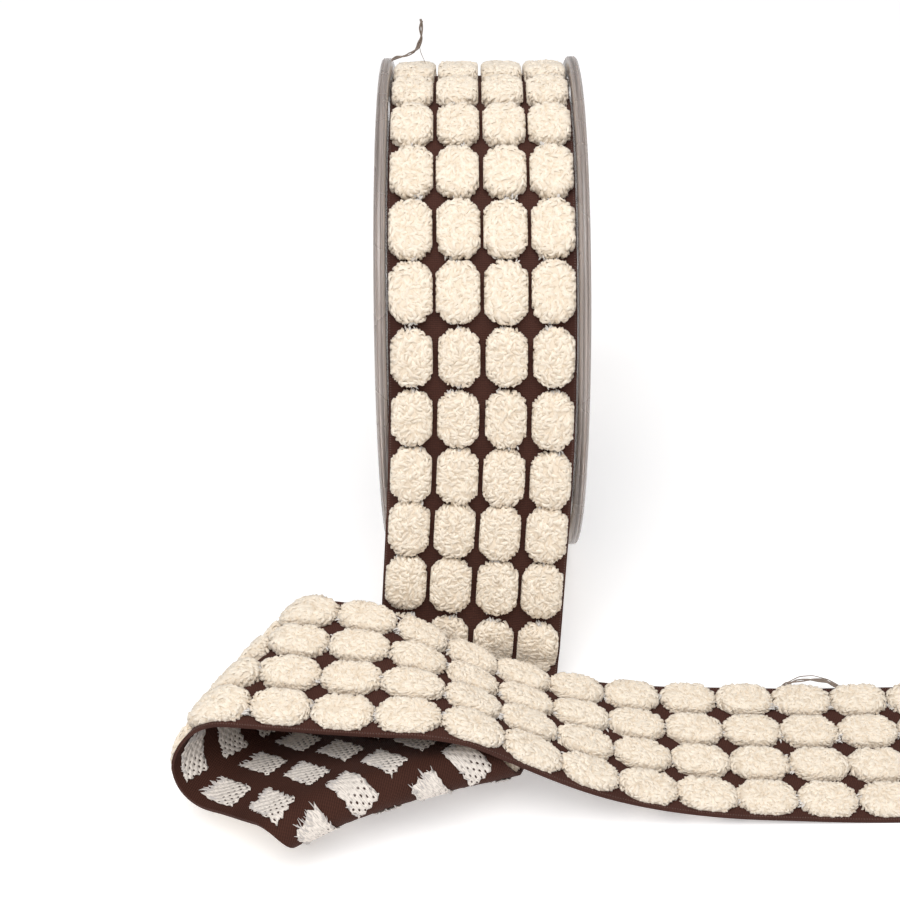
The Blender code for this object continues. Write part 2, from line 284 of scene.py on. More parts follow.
def bend_over(points, flat, bend):
    """Bend a strip about a line across it. A point is taken by its place on the flat strip."""
    slant, turn = radians(bend.slant), radians(bend.turn)
    radius = bend.length / turn
    axes = np.array(((np.cos(slant), -np.sin(slant), 0), (np.sin(slant), np.cos(slant), 0), (0, 0, 1)))
    if bend.way == SIDE:
        axes = axes[[0, 2, 1]]
    start = np.array((bend.at, 0.0, 0.0))

    passed = (flat - start) @ axes[0]
    ahead, beside, above = axes @ (points - start).T
    angle = np.clip(passed, 0, bend.length) / radius
    left_over = np.where(passed > bend.length, ahead - bend.length, 0.0)
    bent_ahead = (radius - above) * np.sin(angle) + left_over * np.cos(angle)
    bent_above = radius - (radius - above) * np.cos(angle) + left_over * np.sin(angle)
    bent = start + np.stack((bent_ahead, beside, bent_above), axis=1) @ axes
    return np.where((passed > 0)[:, None], bent, points)


def away_from(spot, u, v):
    """Squared distance from a push or a press, one at the end of its reach or spread."""
    return ((u - spot.at) / spot.reach) ** 2 + ((v - spot.across) / spot.spread) ** 2


def hang_free(u, v, w):
    """Places on the loose end before the table holds it up. It swings a little to one side within
    its own plane before its bends."""
    flat = np.stack((u, v, w), axis=1)
    flat = points = bend_over(flat, flat, SWING)
    for bend in reversed(BENDS):
        points = bend_over(points, flat, bend)
    outward = np.array((0, -np.cos(LEAVES_AT), np.sin(LEAVES_AT)))
    downward = (0, -np.sin(LEAVES_AT), -np.cos(LEAVES_AT))
    points = (0, 0, AXIS_HEIGHT) + TAPE_RADIUS * outward + points @ np.array(
        (downward, (1, 0, 0), outward))
    for push in PUSHES:
        points = points + np.outer(np.exp(-away_from(push, u, v)), push.move)
    settled = np.clip((u - SETTLE_START) / SETTLE_LENGTH, 0, 1)
    settled = settled * settled * (3 - 2 * settled)
    points[:, 2] += settled * (TAPE_THICKNESS + w - points[:, 2])
    return points


def hang(u, v, w):
    """Places on the loose end. The table lifts the tape and presses the pile under it."""
    points = hang_free(u, v, w)
    lowest = np.minimum(hang_free(u, v, 0 * w)[:, 2], hang_free(u, v, 0 * w - TAPE_THICKNESS)[:, 2])
    points[:, 2] = np.maximum(points[:, 2] + np.maximum(-lowest, 0), 0)
    return points


def angle_back(u):
    """How far back around the winding a place lies, in radians, from the leaving place."""
    rate = TURN_STEP / (2 * pi)
    return (TAPE_RADIUS - np.sqrt(TAPE_RADIUS ** 2 + 2 * rate * np.minimum(u, 0))) / rate


def wind(u, v, w):
    """Places on the wound turns, where u is below zero."""
    back = angle_back(u)
    radius = TAPE_RADIUS - TURN_STEP * back / (2 * pi) + w
    angle = LEAVES_AT + back
    return np.stack((v, -radius * np.cos(angle), AXIS_HEIGHT + radius * np.sin(angle)), axis=1)


def place(u, v, w):
    """Places of points along and across the ribbon and above its tufted face."""
    u, v, w = [np.ravel(item).astype(float) for item in np.broadcast_arrays(u, v, w)]
    w = w + np.interp(u, (INNER_END, OUTER_END) + RAISED_UNTIL, (0.0, RAISED, RAISED, 0.0))
    points = wind(u, v, w)
    loose = u >= 0
    if loose.any():
        points[loose] = hang(u[loose], v[loose], w[loose])
    return points + np.array(AXIS_FOOT)


def grid_faces(corners):
    """Quads between the corners of a grid of point numbers."""
    return np.stack((corners[:-1, :-1], corners[1:, :-1], corners[1:, 1:], corners[:-1, 1:]),
                    axis=-1).reshape(-1, 4)


def repeat_faces(faces, copies, size):
    """The faces of many copies of one shape whose points follow each other."""
    shift = (np.arange(copies) * size)[:, None, None]
    return (faces[None] + shift).reshape(-1, faces.shape[1])


class PileRoom:
    """Height that the pile has at each place: less between the turns and between layers."""

    def __init__(self):
        self.along = np.arange(MEASURED_FROM, row_line(TAIL_ROWS), MEASURED_EACH)
        self.across = np.linspace(-HALF_WIDTH, HALF_WIDTH, MEASURED_ACROSS)
        u, v = np.meshgrid(self.along, self.across, indexing="ij")
        feet, tips = place(u, v, FOOT), place(u, v, 2 * FOOT)
        tufted, bare = self.sheet(0.0), self.sheet(-TAPE_THICKNESS)
        room = np.interp(u.ravel(), LAID_FLAT, (PILE, LAID_PILE))
        for i, (foot, tip) in enumerate(zip(feet, tips)):
            direction = Vector(tip - foot).normalized()
            to_tufted = tufted.ray_cast(Vector(foot), direction, REACH)[3]
            to_bare = bare.ray_cast(Vector(foot), direction, REACH)[3]
            if to_tufted is not None:
                room[i] = min(room[i], (to_tufted + FOOT + INTERLOCK) / 2)
            if to_bare is not None:
                room[i] = min(room[i], to_bare + FOOT - PRESS_GAP)
        room = np.maximum(room, FOOT).reshape(u.shape)
        lowest = np.minimum.reduce(self.neighbours(room))
        self.room = np.minimum(room, np.mean(self.neighbours(lowest), axis=0))

    def neighbours(self, room):
        """The grid of rooms and the same grid moved by one place each way."""
        padded = np.pad(room, 1, mode="edge")
        return [padded[i:i + room.shape[0], j:j + room.shape[1]] for i in range(3) for j in range(3)]

    def sheet(self, height):
        """The loose end as a bare sheet, a little wider than it is, to measure against."""
        u, v = np.meshgrid(self.along, self.across * WIDER, indexing="ij")
        points = [Vector(point) for point in place(u, v, height)]
        faces = grid_faces(np.arange(u.size).reshape(u.shape).T)
        return BVHTree.FromPolygons(points, faces.tolist())

    def on_loose_end(self, u, v):
        """Read the measured room between its grid's places."""
        i = np.interp(u, self.along, np.arange(len(self.along)))
        j = np.interp(v, self.across, np.arange(len(self.across)))
        low_i = np.minimum(i.astype(int), len(self.along) - 2)
        low_j = np.minimum(j.astype(int), len(self.across) - 2)
        room = sum(self.room[low_i + a, low_j + b] * abs(low_i + 1 - a - i) * abs(low_j + 1 - b - j)
                   for a in (0, 1) for b in (0, 1))
        for press in PRESSES:
            room = room * (1 - (1 - press.share) * np.exp(-away_from(press, u, v) ** 2))
        return room

    def on_roll(self, u):
        """Full height on the outer turn, less under the hanging end, and pressed flat inside."""
        back = angle_back(u)
        below = np.clip(2 * pi - back - ON_ROLL / TAPE_RADIUS, 0, radians(HANGS_CLOSE))
        under_tape = (TAPE_RADIUS - TAPE_THICKNESS - GAP) / np.cos(below)
        room = np.minimum(PILE, under_tape - TAPE_RADIUS + TURN_STEP * back / (2 * pi))
        return np.where(back < 2 * pi, room, TURN_STEP - TAPE_THICKNESS - FOOT)

    def at(self, u, v):
        """Room for the pile at places along and across the ribbon."""
        return np.where(u >= 0, self.on_loose_end(u, v), self.on_roll(u))


def feed(node, inputs):
    """Give a shader node's inputs their values, or the sockets that feed them."""
    for name, given in inputs.items():
        if isinstance(given, bpy.types.NodeSocket):
            node.id_data.links.new(given, node.inputs[name])
        else:
            node.inputs[name].default_value = given


def add_node(tree, kind, inputs=None, **settings):
    """Add a shader node with its settings and inputs. What comes back is its outputs."""
    node = tree.nodes.new("ShaderNode" + kind)
    for name, setting in settings.items():
        setattr(node, name, setting)
    feed(node, inputs or {})
    return node.outputs


def start_material(name):
    """A new material: the function that adds its nodes, and its shader."""
    material = bpy.data.materials.new(name)
    material.use_nodes = True
    tree = material.node_tree
    return partial(add_node, tree), tree.nodes["Principled BSDF"]


def toned(colour, share):
    """A colour made darker, or lighter where the share is over one."""
    return tuple(min(c * share, 1) for c in colour[:3]) + (1.0,)


def cloth_place(add):
    """Millimetres along the ribbon and across it, from the piece's own map."""
    cloth = add("UVMap", uv_map="cloth")
    return add("VectorMath", {0: cloth["UV"], "Scale": 1 / MM}, operation="SCALE")["Vector"]


def chenille_pile(ribbon):
    """Acrylic chenille: matt and soft at its edges. Its locks have painted shade at their roots and on the
    body between them, and their tips are painted lighter where light would pass a little way into them.
    """
    add, shader = start_material("chenille_pile")
    # Fibres in a lock are 0.02 mm thick; they are drawn as streaks of about 0.25 mm
    streaks = add("TexNoise", {"Vector": add("TexCoord")["Object"], "Scale": 2600.0, "Detail": 3.0,
                               "Roughness": 0.6})
    uneven = add("Math", {0: streaks["Fac"], 1: 0.34, 2: -0.17}, operation="MULTIPLY_ADD")
    # Painted shade: the shade attribute runs from dark at the locks' roots and on the bodies to light at
    # their tips, and mixes the pile's painted shade colour with its colour in the light
    shade = add("Attribute", attribute_name="shade")
    lit = add("Math", {0: shade["Fac"], 1: uneven["Value"]}, operation="ADD", use_clamp=True)
    colour = add("Mix", {0: lit["Value"], 6: ribbon.pile_painted_shade, 7: ribbon.pile}, data_type="RGBA")
    bump = add("Bump", {"Height": streaks["Fac"], "Strength": 0.35, "Distance": 0.0001})
    feed(shader, {"Base Color": colour[2], "Normal": bump["Normal"], "Roughness": 0.92,
                  "Sheen Weight": 0.25, "Sheen Roughness": 0.5, "Specular IOR Level": 0.2})


def woven_tape(name, colour, spacing, slant, depth, stitches):
    """Polyester tape: close twill lines with painted shade in their grooves and painted light on their
    crests, a low gloss along the threads and a darker, uneven dye.
    """
    add, shader = start_material(name)
    cloth = cloth_place(add)
    turned = add("Mapping", {"Vector": cloth, "Rotation": (0, 0, radians(slant))})["Vector"]
    # A wave repeats every pi / 10 of its scaled coordinate, so this gives the real spacing in mm
    scale = pi / 10 / (spacing / MM)
    ribs = add("TexWave", {"Vector": turned, "Scale": scale, "Distortion": 1.6, "Detail": 2.0,
                           "Detail Scale": 1.4}, bands_direction="X")
    cross = add("TexWave", {"Vector": turned, "Scale": scale * 0.8, "Distortion": 0.8},
                bands_direction="Y")
    weave = add("Math", {0: cross["Fac"], 1: 0.35, 2: ribs["Fac"]}, operation="MULTIPLY_ADD")
    # The dye is uneven over some 8 mm, and fuzz on the face shows as specks of 0.2 mm
    dye = add("TexNoise", {"Vector": cloth, "Scale": 0.12, "Detail": 1.0})
    fuzz = add("TexNoise", {"Vector": cloth, "Scale": 5.0, "Detail": 3.0, "Roughness": 0.7})
    spots = add("Math", {0: fuzz["Fac"], 1: 1.1, 2: -0.45}, operation="MULTIPLY_ADD")
    patchy = add("Math", {0: dye["Fac"], 1: 0.4, 2: spots["Value"]}, operation="MULTIPLY_ADD")
    # The twill's height, besides its bump, darkens the colour in its grooves and lightens it on its
    # crests: painted shade and painted light, added to the uneven dye and fuzz
    lit = add("Math", {0: weave["Value"], 1: depth, 2: patchy["Value"]},
              operation="MULTIPLY_ADD", use_clamp=True)
    dyed_and_shaded = add("Mix", {0: lit["Value"], 6: toned(colour, 0.42), 7: toned(colour, 1.45)},
               data_type="RGBA")
    bump = add("Bump", {"Height": weave["Value"], "Strength": 0.5, "Distance": 0.00012})
    # Light binding stitches show faintly as dots 0.55 mm apart, 0.4 mm inside the edges
    parts = add("SeparateXYZ", {0: cloth})
    middle = add("Math", {0: parts["Y"]}, operation="ABSOLUTE")
    edge = add("Math", {0: middle["Value"], 1: HALF_WIDTH / MM - 0.4, 2: 0.12}, operation="COMPARE")
    pace = add("Math", {0: parts["X"], 1: 2 * pi / 0.55}, operation="MULTIPLY")
    stitch = add("Math", {0: pace["Value"]}, operation="SINE")
    dots = add("MapRange", {"Value": stitch["Value"], "From Min": 0.2, "From Max": 0.8,
                            "To Max": stitches})
    bound = add("Math", {0: edge["Value"], 1: dots["Result"]}, operation="MULTIPLY")
    shown = add("Mix", {0: bound["Value"], 6: dyed_and_shaded[2], 7: linear("C9BDB6")}, data_type="RGBA")
    feed(shader, {"Base Color": shown[2], "Normal": bump["Normal"], "Roughness": 0.8,
                  "Sheen Weight": 0.02, "Sheen Roughness": 0.45, "Specular IOR Level": 0.12})


def ground_weave(ribbon):
    """Open cotton ground of the tufts: cream threads in a lattice with the tape dark in its holes."""
    add, shader = start_material("ground_weave")
    cloth = cloth_place(add)
    # Two holes to each wave of 2 pi make them 1 mm apart along the ribbon and 0.7 mm across it
    lattice = add("Mapping", {"Vector": cloth, "Rotation": (0, 0, radians(4)),
                              "Scale": (3.1, 4.6, 1.0)})["Vector"]
    wander = add("TexNoise", {"Vector": lattice, "Scale": 0.5, "Detail": 1.0})
    wandering = add("VectorMath", {0: wander["Color"], 1: (1.5, 1.5, 0.0), 2: lattice},
                    operation="MULTIPLY_ADD")
    parts = add("SeparateXYZ", {0: wandering["Vector"]})
    along = add("Math", {0: parts["X"]}, operation="SINE")
    across = add("Math", {0: parts["Y"]}, operation="SINE")
    cells = add("Math", {0: along["Value"], 1: across["Value"]}, operation="MULTIPLY")
    holes = add("MapRange", {"Value": cells["Value"], "From Min": 0.54, "From Max": 0.78},
                interpolation_type="SMOOTHSTEP")
    # The cut end is open lattice. The far end frays into loose threads that run along, 0.2 mm apart
    share = add("Attribute", attribute_name="shade")
    crisp = add("MapRange", {"Value": share["Fac"], "From Min": 0.62, "From Max": 0.36},
                interpolation_type="SMOOTHSTEP")
    open_holes = add("Math", {0: holes["Result"], 1: crisp["Result"]}, operation="MULTIPLY")
    drawn = add("Mapping", {"Vector": cloth, "Scale": (0.8, 5.0, 1.0)})
    threads = add("TexNoise", {"Vector": drawn["Vector"], "Scale": 1.0, "Detail": 3.0,
                               "Roughness": 0.65})
    shadows = add("MapRange", {"Value": threads["Fac"], "From Min": 0.30, "From Max": 0.54})
    cream = add("Mix", {0: shadows["Result"], 6: toned(ribbon.patch, 0.5), 7: ribbon.patch},
                data_type="RGBA")
    shown = add("Mix", {0: open_holes["Value"], 6: cream[2], 7: toned(ribbon.underside, 0.9)},
                data_type="RGBA")
    bump = add("Bump", {"Height": cells["Value"], "Strength": 0.8, "Distance": 0.0002}, invert=True)
    feed(shader, {"Base Color": shown[2], "Normal": bump["Normal"], "Roughness": 0.85,
                  "Sheen Weight": 0.15, "Specular IOR Level": 0.25})


def spun_thread(name, colour, scale):
    """Spun thread: matt, its strands seen as fine light and dark streaks."""
    add, shader = start_material(name)
    # Strands 0.1 mm thick are too fine to show, and are drawn as streaks of 0.3 to 0.5 mm
    strands = add("TexNoise", {"Vector": add("TexCoord")["Object"], "Scale": scale, "Detail": 3.0})
    shown = add("Mix", {0: strands["Fac"], 6: toned(colour, 0.55), 7: colour}, data_type="RGBA")
    bump = add("Bump", {"Height": strands["Fac"], "Strength": 0.4, "Distance": 0.0001})
    feed(shader, {"Base Color": shown[2], "Normal": bump["Normal"], "Roughness": 0.8,
                  "Sheen Weight": 0.2, "Specular IOR Level": 0.25})


def clear_polystyrene(name, tint, clear, streak, roughness):
    """Moulded crystal polystyrene: glossy, clear where it is thin, and where it is seen edge-on
    hazy enough that light spreads in it and soft flow streaks show around its rim."""
    add, shader = start_material(name)
    here = add("TexCoord")["Object"]
    # Flow lines run around the rim, 0.6 mm apart across it, and its haze comes and goes over 17 mm
    drawn = add("Mapping", {"Vector": here, "Scale": (1700.0, 22.0, 22.0)})
    flow = add("TexNoise", {"Vector": drawn["Vector"], "Scale": 1.0, "Detail": 3.0,
                            "Roughness": 0.65})
    streaks = add("MapRange", {"Value": flow["Fac"], "From Min": 0.36, "From Max": 0.64})
    shown = add("Mix", {0: streaks["Result"], 6: toned(tint, streak), 7: tint}, data_type="RGBA")
    bump = add("Bump", {"Height": flow["Fac"], "Strength": 0.25, "Distance": 0.0002})
    cloud = add("TexNoise", {"Vector": here, "Scale": 60.0, "Detail": 2.0})
    matt = add("MapRange", {"Value": cloud["Fac"], "To Min": roughness * 0.6,
                            "To Max": roughness * 1.7})
    feed(shader, {"Base Color": shown[2], "Normal": bump["Normal"], "Roughness": matt["Result"],
                  "IOR": 1.59, "Transmission Weight": clear, "Subsurface Weight": 1.0,
                  "Subsurface Radius": (1.0, 0.93, 0.88), "Subsurface Scale": 0.004})


def lit_table(stage):
    """Opal acrylic of a light table: matt white, and lit from below so that shadows stay faint."""
    add, shader = start_material("opal_acrylic")
    # A matt face's grain of 0.05 mm is drawn 1 mm wide
    grain = add("TexNoise", {"Vector": add("TexCoord")["Object"], "Scale": 900.0, "Detail": 2.0})
    shown = add("Mix", {0: grain["Fac"], 6: toned(stage.floor, 0.985), 7: stage.floor},
                data_type="RGBA")
    feed(shader, {"Base Color": shown[2], "Roughness": 0.9, "Specular IOR Level": 0.1,
                  "Emission Color": stage.floor, "Emission Strength": stage.glow})


def map_cloth(mesh, layer, flat):
    """Map each corner of a mesh to its place on the flat cloth."""
    corners = np.zeros(len(mesh.loops), dtype=int)
    mesh.loops.foreach_get("vertex_index", corners)
    layer.name = "cloth"
    layer.data.foreach_set("uv", flat[corners].ravel())


def mesh_piece(name, points, faces, material, cloth=None, shade=None):
    """A piece of the ribbon from its points and faces, with its cloth map and its shade."""
    mesh = bpy.data.meshes.new(name)
    mesh.from_pydata(points.tolist(), [], faces)
    mesh.update()
    piece = bpy.data.objects.new(name, mesh)
    bpy.context.scene.collection.objects.link(piece)
    mesh.materials.append(bpy.data.materials[material])
    if cloth is not None:
        map_cloth(mesh, mesh.uv_layers.new(), cloth)
    if shade is not None:
        mesh.attributes.new("shade", "FLOAT", "POINT").data.foreach_set("value", shade)
    mesh.shade_smooth()
    return piece


def select_only(*pieces):
    """Select these pieces and nothing else. The first one is active."""
    bpy.ops.object.select_all(action="DESELECT")
    for piece in pieces:
        piece.select_set(True)
        bpy.context.view_layer.objects.active = pieces[0]


def thicken(piece, thickness, offset, other_side=0):
    """Give a sheet its thickness. Its other side may have the next material."""
    select_only(piece)
    thick = piece.modifiers.new("Thickness", "SOLIDIFY")
    thick.thickness, thick.offset, thick.material_offset = thickness, offset, other_side
    bpy.ops.object.modifier_apply(modifier=thick.name)


def attach(piece):
    """Let a piece of the ribbon ride with the body."""
    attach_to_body(piece, "root")


# One lock of pile, modelled once as an arched strip whose edges sink into the tuft: four places
# along it, with the share of its width, its lift in millimetres and its lightness at each, and
# how far from its start its foot stands. The lightness is painted shade, darkest at the root where
# the lock sinks between the others
Lock = namedtuple("Lock", "along width lift light")
LOCK = Lock(
    along=np.array((0.0, 0.34, 0.72, 1.0)),
    width=np.array((0.5, 1.0, 0.92, 0.30)),
    lift=np.array((-0.10, 0.17, 0.22, -0.02)),
    light=np.array((0.15, 0.75, 1.0, 0.85)))
LOCK_SIDE = 3
LOCK_FOOT = 0.35
SUNK = 0.13
ARCH = 0.46
LOCK_RELIEF = np.array((-0.05, 0.28, -0.05))
LOCKED_SHARE = 0.93


def lock_faces(copies):
    """Faces of many locks: two quads between each place along a lock and the next."""
    corners = np.arange(len(LOCK.along) * LOCK_SIDE).reshape(-1, LOCK_SIDE)
    return repeat_faces(grid_faces(corners), copies, corners.size)


def locks(feet, ahead, length, width, chance, surface, tip=0.0, curl=0.22):
    """Points and lightness of locks that hug a surface from their feet, in millimetres. The lightness is a
    random tone for each lock times its painted shade along it.
    """
    outward = surface(feet)[1]
    aside = np.cross(outward, ahead)
    run = np.outer(length, LOCK.along - LOCK_FOOT)
    bow = np.outer(chance.normal(0, curl, len(feet)) * length, np.sin(pi * LOCK.along))
    middle = feet[:, None] + run[..., None] * ahead[:, None] + bow[..., None] * aside[:, None]
    middle, outward = surface(middle.reshape(-1, 3))
    middle, outward = middle.reshape(*run.shape, 3), outward.reshape(*run.shape, 3)
    aside = np.cross(outward, np.gradient(middle, axis=1))
    aside /= np.linalg.norm(aside, axis=2)[..., None]
    lift = LOCK.lift + chance.uniform(-0.07, 0.10, len(feet))[:, None]
    lift = lift + np.outer(tip * np.ones(len(feet)), LOCK.along ** 2)
    middle = middle + lift[..., None] * outward
    aside = aside * (np.outer(width, LOCK.width) / 2)[..., None]
    rise = np.outer(width, ARCH * LOCK.width)[..., None] * outward
    points = np.stack((middle - aside - SUNK * outward, middle + rise,
                       middle + aside - SUNK * outward), axis=2)
    # Each lock's random tone times its painted shade, dark at the root and light near the tip
    light = np.outer(chance.uniform(0.78, 1.0, len(feet)), LOCK.light)
    return points, np.broadcast_to(light[..., None], points.shape[:3])


# Shape of a tuft's body, in millimetres: an octagon cushion, flat on top and steep at its sides.
# The powers say how sharp its outline's corners and its shoulder are
TUFT_LENGTH = 11.5
TUFT_WIDTH = 8.7
CORNER_SUM = 7.85
CROWN = 2.85
TUFT_REACH = 4.6
CORNERED = 20
SQUARENESS = 6.0
PROFILE_STEPS = 400
RINGS = (0.04, 0.14, 0.28, 0.42, 0.54, 0.68, 0.84, 1.0)
SPOKES = 24
BODY_SHADE = 0.5

# Its locks lie in a golden spiral, and turn about a whorl that may stand this far off its middle.
# Where it is steep they hang down, and at its ends their tips stand out. Lumps are its top's relief
GOLDEN_ANGLE = 2.39996
WHORL_REACH = (2.2, 1.2)
STEEP = 0.7
HANG = 3.0
ENDS_FROM = 4.4
LUMPS = 0.13


def tuft_outline(angle):
    """Distance from a tuft's middle to its outline, in a direction."""
    across = np.abs(np.cos(angle)) / (TUFT_LENGTH / 2)
    along = np.abs(np.sin(angle)) / (TUFT_WIDTH / 2)
    corner = (np.abs(np.cos(angle)) + np.abs(np.sin(angle))) / CORNER_SUM
    return (across ** CORNERED + along ** CORNERED + corner ** CORNERED) ** (-1 / CORNERED)


def tuft_level(points):
    """One on a tuft's surface, less inside it."""
    reach = np.hypot(points[:, 0], points[:, 1]) / tuft_outline(np.arctan2(points[:, 1], points[:, 0]))
    height = np.maximum(points[:, 2], 0.02) / CROWN
    return (reach ** SQUARENESS + height ** SQUARENESS) ** (1 / SQUARENESS)


def on_tuft(points):
    """Points moved onto a tuft's surface, with the surface's direction there."""
    points = points / tuft_level(points)[:, None]
    small = 0.05
    here = tuft_level(points)
    slope = np.stack([tuft_level(points + step) - here for step in np.eye(3) * small], axis=1)
    return points, slope / np.linalg.norm(slope, axis=1)[:, None]


def tuft_profile(down):
    """Share of a tuft's outline and of its crown's height, from its crown, 0, to its foot, 1."""
    turn = np.clip(down, 0, 1) * pi / 2
    return np.sin(turn) ** (2 / SQUARENESS), np.cos(turn) ** (2 / SQUARENESS)


def tuft_surface(down, angle):
    """Points on a tuft's surface."""
    out, height = tuft_profile(down)
    reach = tuft_outline(angle) * out
    return np.stack((reach * np.cos(angle), reach * np.sin(angle), height * CROWN), axis=-1)


def even_downs(shares):
    """Places between crown and foot that share out a tuft's surface evenly."""
    down = np.linspace(0, 1, PROFILE_STEPS) ** (SQUARENESS / 2)
    out, height = tuft_profile(down)
    step = np.hypot(np.diff(out) * TUFT_WIDTH / 2, np.diff(height) * CROWN)
    area = np.concatenate(((0,), np.cumsum(step * (out[1:] + out[:-1]))))
    return np.interp(shares, area / area[-1], down)


def tuft_base():
    """Points and faces of the body under a tuft's locks, open at its foot."""
    downs = even_downs(RINGS)
    angles = np.arange(SPOKES) * 2 * pi / SPOKES
    rings = [tuft_surface(np.full(SPOKES, down), angles) for down in downs]
    points = np.vstack([[(0, 0, CROWN)]] + rings)
    corners = 1 + np.arange(len(downs) * SPOKES).reshape(-1, SPOKES)
    corners = np.hstack((corners, corners[:, :1]))
    fan = np.stack((0 * angles.astype(int), corners[0, :-1], corners[0, 1:]), axis=1)
    return points, (grid_faces(corners), fan)


def tuft_locks(count, length, width, chance):
    """Locks over one tuft, in millimetres: whorled on its crown, outwards on its sides."""
    order = np.arange(count) + 0.5
    shares = LOCKED_SHARE * (order + chance.normal(0, 1.2, count)) / count
    down = even_downs(np.clip(shares, 0.0005, 1))
    angle = order * GOLDEN_ANGLE + chance.uniform(0, 2 * pi) + chance.normal(0, 0.12, count)
    feet, outward = on_tuft(tuft_surface(down, angle))
    whorl_at = chance.uniform(-1, 1, 2) * WHORL_REACH
    away = np.stack((feet[:, 0] - whorl_at[0], feet[:, 1] - whorl_at[1], np.zeros(count)), axis=1)
    steep = np.clip((1 - outward[:, 2]) / STEEP, 0, 1)
    away[:, 2] = -HANG * steep
    away -= (away * outward).sum(1)[:, None] * outward
    away /= np.linalg.norm(away, axis=1)[:, None]
    around = np.cross(outward, away)
    turn = chance.normal(chance.uniform(-1.3, 1.3), 0.9, count) * (1 - 0.55 * steep)
    ahead = np.cos(turn)[:, None] * away + np.sin(turn)[:, None] * around
    lengths = length * chance.uniform(0.7, 1.2, count) * (1 - 0.3 * steep)
    widths = width * chance.uniform(0.75, 1.25, count)
    at_end = np.clip(np.abs(feet[:, 0]) - ENDS_FROM, 0, 1) * chance.uniform(0, 0.5, count)
    points, light = locks(feet, ahead, lengths, widths, chance, on_tuft, at_end)
    points[..., 1] = np.clip(points[..., 1], -TUFT_REACH, TUFT_REACH)
    return points, light


def level_ground(points):
    """Leave points where they are, on level ground."""
    return points, np.tile((0.0, 0.0, 1.0), (len(points), 1))


def end_floss(count, chance):
    """Frayed ends of the pile's ground at both ends of a tuft, in millimetres."""
    side = np.where(np.arange(count) % 2 == 0, 1.0, -1.0)
    clump = np.where(side > 0, chance.uniform(-2.4, 2.4), chance.uniform(-2.4, 2.4))
    across = np.clip(clump * 0.75 + chance.normal(0, 0.55, count), -2.6, 2.6)
    feet = np.stack((side * chance.uniform(5.2, 5.9, count), across,
                     chance.uniform(0.3, 1.7, count)), axis=1)
    turn = chance.normal(0, 0.5, count)
    ahead = np.stack((side * np.cos(turn), np.sin(turn), np.zeros(count)), axis=1)
    return locks(feet, ahead, chance.uniform(0.7, 1.7, count), chance.uniform(0.28, 0.50, count),
                 chance, level_ground, chance.uniform(-0.5, 0.1, count), 0.1)


def lay_on_ribbon(points, centres, room, relief=0.0):
    """Put points in millimetres about their tuft's middle onto the ribbon. Relief is the height
    that they keep where the pile is pressed flat."""
    shape = points.shape
    relief = np.broadcast_to(relief, shape[:-1]).reshape(len(centres), -1) * MM
    flat = points.reshape(len(centres), -1, 3) * MM
    u = flat[..., 0] + centres[:, 0, None]
    v = np.clip(flat[..., 1] + centres[:, 1, None], -HALF_WIDTH - PAST_EDGE, HALF_WIDTH + PAST_EDGE)
    share = room.at(u.ravel(), v.ravel()).reshape(u.shape) / PILE
    w = np.maximum(flat[..., 2] * share + relief * np.clip(1 - share, 0, 1), -TAPE_THICKNESS * 0.5)
    return place(u, v, w).reshape(shape)


def tuft_centres(rows, columns):
    """Middles of tufts, along and across the ribbon. Rows below zero are on the roll."""
    return np.array([((row_line(row) + row_line(row + 1)) / 2,
                      (column - (COLUMNS - 1) / 2) * COLUMN_PITCH) for row in rows for column in columns])


def uneven(points, size, reach, start, narrow):
    """A tuft with its own size, slow lumps over its top and ends that draw in."""
    lumps = np.sin(points[..., 0] * reach[0] + start[0]) * np.cos(points[..., 1] * reach[1] + start[1])
    points = points * size
    points[..., 1] *= 1 - narrow * np.clip(points[..., 0] / (TUFT_LENGTH / 2), -1, 1) ** 2
    points[..., 2] += LUMPS * lumps * points[..., 2] / CROWN
    return points


def tufts(name, rows, columns, count, room, seed, narrow):
    """A piece with the tufts of some rows. Narrow is how far they and their ends draw in."""
    ribbon = bpy.context.scene.ribbon
    chance = np.random.default_rng(ribbon.seed + seed)
    centres = tuft_centres(rows, columns)
    centres = centres + chance.uniform(-OFF_CENTRE, OFF_CENTRE, centres.shape)
    base, base_faces = tuft_base()
    bodies, all_locks, lights = [], [], []
    for _ in centres:
        size = np.array((chance.uniform(0.97, 1.02), chance.uniform(0.985, 1.01) * (1 - narrow), 1.0))
        reach = chance.uniform(0.7, 1.5, 2)
        start = chance.uniform(0, 6, 2)
        bodies.append(uneven(base, size, reach, start, narrow))
        points, light = tuft_locks(count, ribbon.lock_length / MM, ribbon.lock_width / MM, chance)
        all_locks.append(uneven(points, size, reach, start, narrow))
        lights.append(light)
    bodies = lay_on_ribbon(np.array(bodies), centres, room).reshape(-1, 3)
    all_locks = lay_on_ribbon(np.array(all_locks), centres, room, LOCK_RELIEF).reshape(-1, 3)
    faces = lock_faces(len(centres) * count).tolist()
    for part in base_faces:
        faces += (repeat_faces(part, len(centres), len(base)) + len(all_locks)).tolist()
    # Painted shade for the pile: each lock's lightness, and the bodies under the locks painted half in
    # shade
    shade = np.concatenate((np.array(lights).ravel(), np.full(len(bodies), BODY_SHADE)))
    return mesh_piece(name, np.vstack((all_locks, bodies)), faces, "chenille_pile", shade=shade)


def floss(name, rows, columns, room, seed):
    """A piece with the frayed ends between the rows."""
    chance = np.random.default_rng(bpy.context.scene.ribbon.seed + seed)
    centres = tuft_centres(rows, columns)
    points = np.array([end_floss(FLOSS_EACH, chance)[0] for _ in centres])
    points = lay_on_ribbon(points, centres, room).reshape(-1, 3)
    return mesh_piece(name, points, lock_faces(len(centres) * FLOSS_EACH).tolist(), "frayed_floss")


